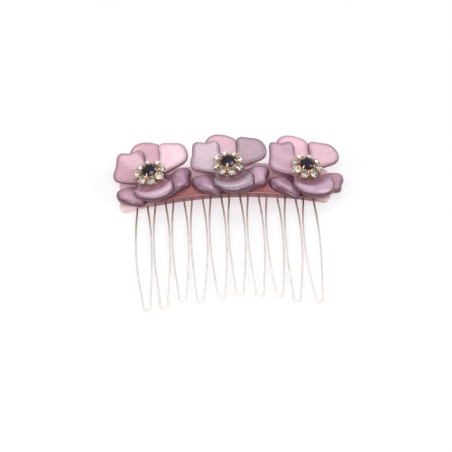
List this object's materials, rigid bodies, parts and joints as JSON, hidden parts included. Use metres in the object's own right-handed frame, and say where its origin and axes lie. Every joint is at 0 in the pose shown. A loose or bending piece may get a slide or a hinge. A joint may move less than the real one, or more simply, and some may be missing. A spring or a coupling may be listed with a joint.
{
  "type": "decorative hair comb",
  "caption": "Arched acetate hair comb with a row of wire loop teeth and layered pearl acetate flowers with jewelled centers; holds and decorates hair.",
  "frame": {"origin": "bottom centre of the bounding box: the comb lies head side down on its bar ends and lowest tooth tip", "axes": "+X along the bar, -Y the way the teeth point, +Z out of the flowers, away from the head"},
  "size_m": [0.0868, 0.0772, 0.0162],
  "materials": {
    "bar_acetate": "polished pearl",
    "left_back_acetate": "polished pearl",
    "left_front_acetate": "polished pearl",
    "middle_back_acetate": "polished pearl",
    "middle_front_acetate": "polished pearl",
    "right_back_acetate": "polished pearl",
    "right_front_acetate": "polished pearl",
    "wire_gold": "bright, pale gold plate",
    "setting_gold": "bright gold plate",
    "pin_metal": "plain",
    "clear_stone": "faceted, foiled behind",
    "dark_stone": "faceted, opaque"
  },
  "bodies": {
    "root": {"comb_bar": "bar_acetate", "wire_tooth_01": "wire_gold", "wire_tooth_02": "wire_gold", "wire_tooth_03": "wire_gold", "wire_tooth_04": "wire_gold", "wire_tooth_05": "wire_gold", "wire_tooth_06": "wire_gold", "wire_tooth_07": "wire_gold", "wire_tooth_08": "wire_gold", "wire_tooth_09": "wire_gold", "wire_tooth_10": "wire_gold", "left_back_petals": "left_back_acetate", "left_front_petals": "left_front_acetate", "left_halo_setting": "setting_gold", "left_halo_stones": "clear_stone", "left_center_setting": "setting_gold", "left_center_stone": "dark_stone", "left_pin": "pin_metal", "middle_back_petals": "middle_back_acetate", "middle_front_petals": "middle_front_acetate", "middle_halo_setting": "setting_gold", "middle_halo_stones": "clear_stone", "middle_center_setting": "setting_gold", "middle_center_stone": "dark_stone", "middle_pin": "pin_metal", "right_back_petals": "right_back_acetate", "right_front_petals": "right_front_acetate", "right_halo_setting": "setting_gold", "right_halo_stones": "clear_stone", "right_center_setting": "setting_gold", "right_center_stone": "dark_stone", "right_pin": "pin_metal"}
  },
  "joints": []
}
